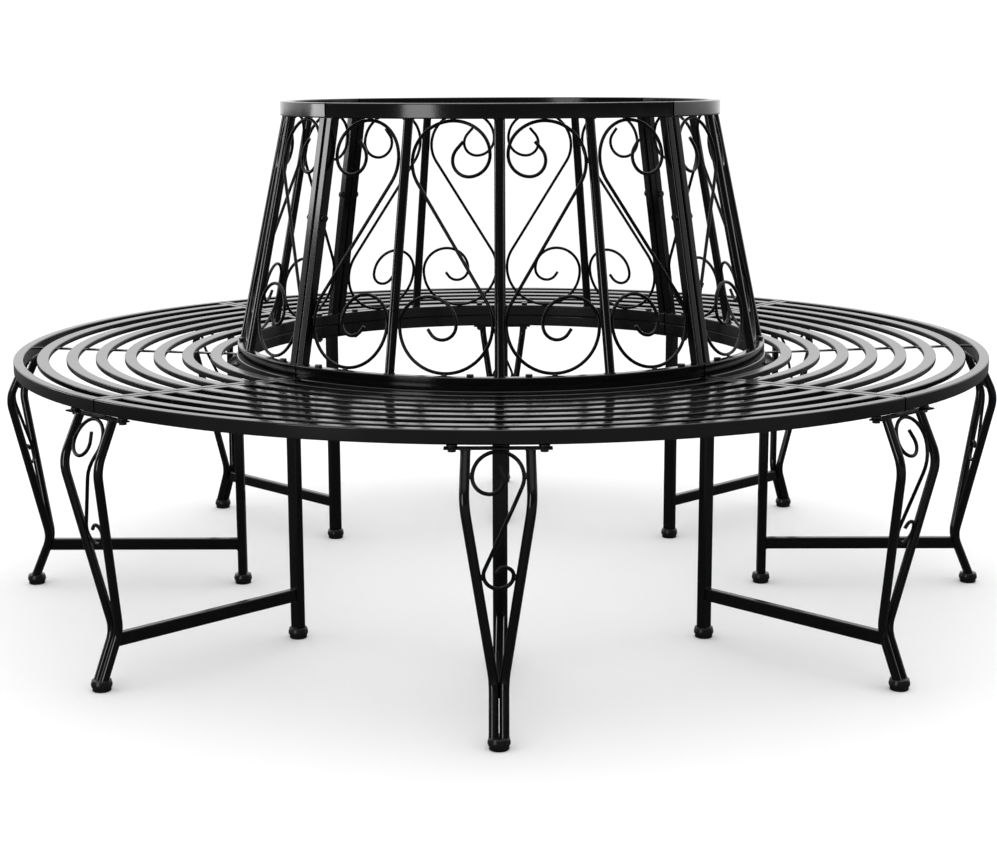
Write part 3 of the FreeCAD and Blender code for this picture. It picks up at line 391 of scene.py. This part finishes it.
def touchingPoints(firstName, secondName, reach):
    # pairs of a corner of the first node and the nearest point of the second, nearest pairs first
    first, second = joinedShape(firstName), joinedShape(secondName)
    tree = BVHTree.FromBMesh(second)
    pairs = []
    for vert in first.verts:
        nearest, _, _, distance = tree.find_nearest(vert.co, reach)
        if nearest is not None:
            pairs.append((distance, vert.co.copy(), nearest))
    first.free()
    second.free()
    return sorted(pairs, key=lambda pair: pair[0])


def addBead(shape, place, along, size):
    turn = along.to_track_quat("X", "Z").to_matrix().to_4x4()
    matrix = Matrix.Translation(place) @ turn @ Matrix.Diagonal((*size, 1))
    made = bmesh.ops.create_icosphere(
        shape,
        subdivisions=beads["detail"],
        radius=1,
        matrix=matrix,
    )
    for vert in made["verts"]:
        lump = 1 + beads["lumps"] * noise.noise(vert.co * beads["lumpScale"])
        vert.co = place + (vert.co - place) * lump


def addRodBeads(shape, rodNode, otherNode):
    # one long bead wherever a scroll's rod touches its neighbour
    groups = []
    for distance, point, nearest in touchingPoints(rodNode, otherNode, beads["rodReach"]):
        middle = (point + nearest) / 2
        near = [
            group for group in groups if (group["points"][0] - point).length < beads["rodGroup"]
        ]
        if not near:
            groups.append({"gap": distance, "points": [point], "middles": [middle]})
        elif distance < near[0]["gap"] + beads["rodSpread"]:
            near[0]["points"].append(point)
            near[0]["middles"].append(middle)
    for group in groups:
        place = sum(group["middles"], Vector()) / len(group["middles"])
        steps = [point - group["points"][0] for point in group["points"]]
        along = max(steps, key=lambda step: step.length)
        if along.length < beads["shortest"]:
            along = Vector((0, 0, 1))
        addBead(shape, place, along, beads["rodSize"])


def addEndBeads(shape, endNode, otherNode):
    # a row of small beads round the end of a post, tube or bar
    kept = []
    for _, point, _ in touchingPoints(endNode, otherNode, beads["endReach"]):
        if all((point - other).length > beads["endSpacing"] for other in kept):
            kept.append(point)
    size = beads["endSize"]
    for point in kept:
        addBead(shape, point, Vector((0, 0, 1)), (beads["endFlatness"] * size, size, size))


def addWelds(name, joints):
    shape = bmesh.new()
    for addBeads, firstName, secondName in joints:
        addBeads(shape, firstName, secondName)
    for face in shape.faces:
        face.smooth = True
    print(name, len(shape.faces), "faces")
    addPiece(name, shape, weldFinish)


quarterNames = ["front", "right", "back", "left"]
legNames = [
    "front",
    "front_right",
    "right",
    "back_right",
    "back",
    "back_left",
    "left",
    "front_left",
]

for quarter in quarterNames:
    posts, ring = "back_posts_" + quarter, "back_bottom_ring_" + quarter
    band, scrolls = "back_top_band_" + quarter, "back_scrolls_" + quarter
    addWelds(
        "backWelds_" + quarter,
        [
            (addEndBeads, posts, ring),
            (addEndBeads, posts, band),
            (addRodBeads, scrolls, posts),
            (addRodBeads, scrolls, ring),
            (addRodBeads, scrolls, band),
        ],
    )

for leg in legNames:
    tubes, post = "leg_outer_tubes_" + leg, "leg_inner_post_" + leg
    addWelds(
        "legWelds_" + leg,
        [
            (addEndBeads, tubes, "leg_outer_plates"),
            (addEndBeads, post, "leg_inner_plates"),
            (addEndBeads, "leg_stretchers", post),
            (addEndBeads, "leg_stretchers", tubes),
            (addRodBeads, "leg_scrolls", tubes),
        ],
    )
print("welds done")


# floor, light and camera

floorLook = {
    "size": 60.0,
    "colour": (0.93, 0.93, 0.93, 1),
    # painted shade of the floor, seen only in the steel's gloss: darker near the bench and in
    # front of it
    "farPaintedShade": {"low": 2.4, "high": 3.6, "start": 0.07, "end": 0.22},
    "frontPaintedShade": {"low": -1.4, "high": -0.9, "start": 0.19, "end": 0.07},
}
room = {
    "around": 1.12,
    "depth": {"low": -0.05, "high": 0.30, "start": 0.06, "end": 1.20},
    "above": {"low": 0.34, "high": 0.70, "start": 0.0, "end": 1.0},
}


def addRamp(nodes, links, source, levels):
    ramp = nodes.new("ShaderNodeMapRange")
    ramp.interpolation_type = "SMOOTHSTEP"
    ramp.inputs["From Min"].default_value = levels["low"]
    ramp.inputs["From Max"].default_value = levels["high"]
    ramp.inputs["To Min"].default_value = levels["start"]
    ramp.inputs["To Max"].default_value = levels["end"]
    links.new(source, ramp.inputs["Value"])
    return ramp.outputs["Result"]


def addLarger(nodes, links, first, second):
    larger = nodes.new("ShaderNodeMath")
    larger.operation = "MAXIMUM"
    links.new(first, larger.inputs[0])
    links.new(second, larger.inputs[1])
    return larger.outputs[0]


def makeFloor():
    shape = bmesh.new()
    bmesh.ops.create_grid(shape, x_segments=2, y_segments=2, size=floorLook["size"] / 2)
    mesh = bpy.data.meshes.new("floor")
    shape.to_mesh(mesh)
    shape.free()
    floor = bpy.data.objects.new("floor", mesh)
    bpy.context.scene.collection.objects.link(floor)
    material = bpy.data.materials.new("paleFloor")
    material.use_nodes = True
    nodes, links = material.node_tree.nodes, material.node_tree.links
    surface = nodes["Principled BSDF"]
    # pale to the eye; for the gloss of the steel its colour is painted darker beside the bench
    # than far off, a painted shade seen only in the steel's reflections
    place = nodes.new("ShaderNodeTexCoord")
    axes = nodes.new("ShaderNodeSeparateXYZ")
    links.new(place.outputs["Object"], axes.inputs[0])
    reach = nodes.new("ShaderNodeVectorMath")
    reach.operation = "LENGTH"
    links.new(place.outputs["Object"], reach.inputs[0])
    far = addRamp(nodes, links, reach.outputs["Value"], floorLook["farPaintedShade"])
    inFront = addRamp(nodes, links, axes.outputs["Y"], floorLook["frontPaintedShade"])
    sight = nodes.new("ShaderNodeLightPath")
    shade = nodes.new("ShaderNodeMix")
    shade.data_type = "RGBA"
    shade.inputs["A"].default_value = floorLook["colour"]
    links.new(addLarger(nodes, links, far, inFront), shade.inputs["B"])
    links.new(sight.outputs["Is Glossy Ray"], shade.inputs["Factor"])
    links.new(shade.outputs["Result"], surface.inputs["Base Color"])
    surface.inputs["Roughness"].default_value = 1.0
    surface.inputs["Specular IOR Level"].default_value = 0.0
    mesh.materials.append(material)


def makeWorld():
    # even white light, but gloss sees a room that is white behind and above and dim at the front
    world = bpy.data.worlds.new("studio")
    bpy.context.scene.world = world
    world.use_nodes = True
    nodes, links = world.node_tree.nodes, world.node_tree.links
    background = nodes["Background"]
    place = nodes.new("ShaderNodeTexCoord")
    axes = nodes.new("ShaderNodeSeparateXYZ")
    links.new(place.outputs["Generated"], axes.inputs[0])
    depth = addRamp(nodes, links, axes.outputs["Y"], room["depth"])
    above = addRamp(nodes, links, axes.outputs["Z"], room["above"])
    sight = nodes.new("ShaderNodeLightPath")
    brightness = nodes.new("ShaderNodeMix")
    links.new(sight.outputs["Is Glossy Ray"], brightness.inputs["Factor"])
    links.new(addLarger(nodes, links, depth, above), brightness.inputs["B"])
    brightness.inputs["A"].default_value = room["around"]
    links.new(brightness.outputs["Result"], background.inputs["Strength"])
    background.inputs["Color"].default_value = (1, 1, 1, 1)


# the lamps that don't light the floor are there for the highlights along the steel
lamps = {
    "overheadLamp": {
        "place": (0.0, 0.2, 3.2),
        "aim": (0.0, 0.0, 0.4),
        "size": (2.4, 2.4),
        "power": 26,
        "lightsFloor": True,
    },
    "leftLamp": {
        "place": (-3.4, 0.0, 1.48),
        "aim": (-0.3, 0.0, 1.48),
        "size": (0.7, 0.7),
        "power": 11,
        "lightsFloor": False,
    },
    "lowLeftLamp": {
        "place": (-3.4, 0.9, 0.70),
        "aim": (-0.3, 0.9, 0.70),
        "size": (0.75, 0.35),
        "power": 5,
        "lightsFloor": False,
    },
    "frontLamp": {
        "place": (-2.05, -2.95, 0.7),
        "aim": (0.0, 0.0, 0.6),
        "size": (0.9, 1.2),
        "power": 20,
        "lightsFloor": False,
    },
}


def makeLamp(name, setting):
    lamp = bpy.data.lights.new(name, "AREA")
    lamp.shape = "RECTANGLE"
    lamp.size, lamp.size_y = setting["size"]
    lamp.energy = setting["power"]
    holder = bpy.data.objects.new(name, lamp)
    place = Vector(setting["place"])
    holder.location = place
    facing = Vector(setting["aim"]) - place
    holder.rotation_euler = facing.to_track_quat("-Z", "Y").to_euler()
    holder.visible_diffuse = setting["lightsFloor"]
    bpy.context.scene.collection.objects.link(holder)


view = {
    "place": (0.0150, -2.9865, 0.8339),
    "down": 0.1856,
    "left": 0.0065,
    "roll": -0.0035,
    "lens": 66.77,
    "sensor": 36,
}


def makeCamera():
    data = bpy.data.cameras.new("photoView")
    data.sensor_width = view["sensor"]
    data.lens = view["lens"]
    camera = bpy.data.objects.new("photoView", data)
    facing = Euler((math.pi / 2 - view["down"], 0, view["left"])).to_matrix()
    tilt = Matrix.Rotation(view["roll"], 3, "Z")
    camera.matrix_world = Matrix.Translation(view["place"]) @ (facing @ tilt).to_4x4()
    bpy.context.scene.collection.objects.link(camera)
    bpy.context.scene.camera = camera


makeFloor()
makeWorld()
for lampName, lampSetting in lamps.items():
    makeLamp(lampName, lampSetting)
makeCamera()
bpy.context.scene.view_settings.view_transform = "Standard"
print("studio done")
